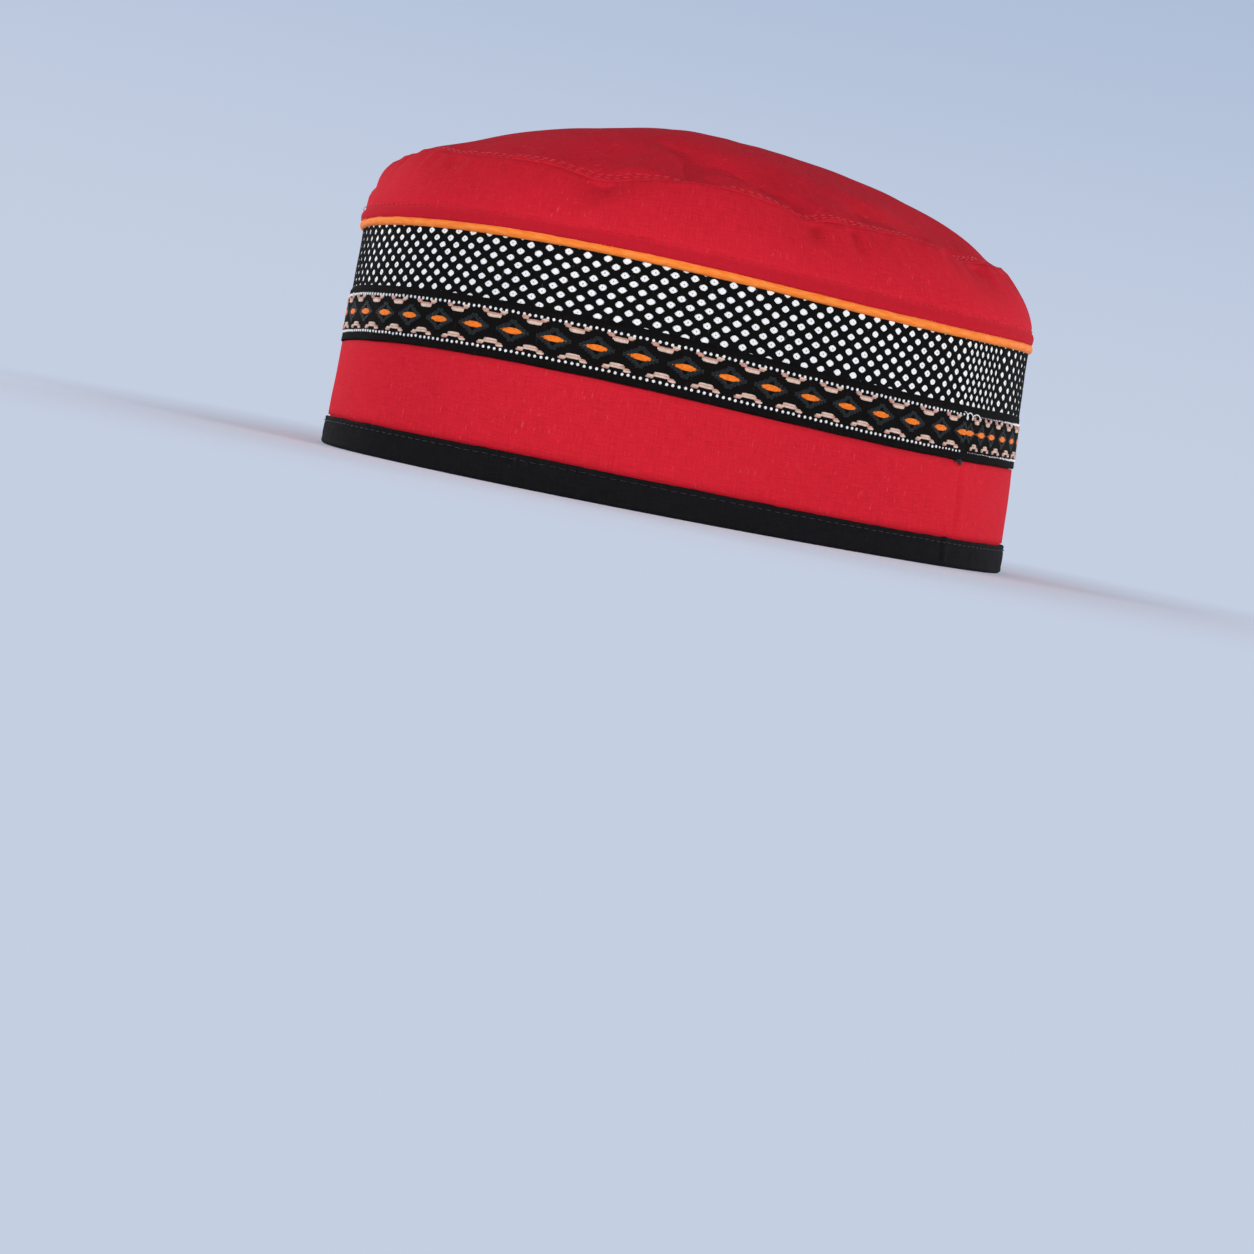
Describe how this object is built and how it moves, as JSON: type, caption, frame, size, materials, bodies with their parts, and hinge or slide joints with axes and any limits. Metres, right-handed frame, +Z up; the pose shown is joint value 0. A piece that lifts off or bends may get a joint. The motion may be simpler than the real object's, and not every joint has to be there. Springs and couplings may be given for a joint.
{
  "type": "kufi",
  "caption": "Brimless soft cap: bound rim, upright cloth side with a woven trim and a net band, piping, and a rounded shoulder under a low domed top.",
  "frame": {"origin": "middle of the footprint, on the surface that the rim rests on", "axes": "+Z up through the domed top, -Y towards the front of the head, +X towards the wearer's left"},
  "size_m": [0.1758, 0.2072, 0.1058],
  "materials": {
    "red_cotton": "matte plain-woven cotton",
    "black_binding": "matte cotton tape",
    "dotted_net": "black net over white cloth",
    "woven_trim": "patterned woven ribbon",
    "orange_piping": "smooth cotton piping"
  },
  "bodies": {
    "root": {"rim_binding": "black_binding", "side_wall": "red_cotton", "dotted_band": "dotted_net", "woven_trim": "woven_trim", "piping": "orange_piping", "shoulder_band": "red_cotton", "crown_top": "red_cotton"}
  },
  "joints": []
}
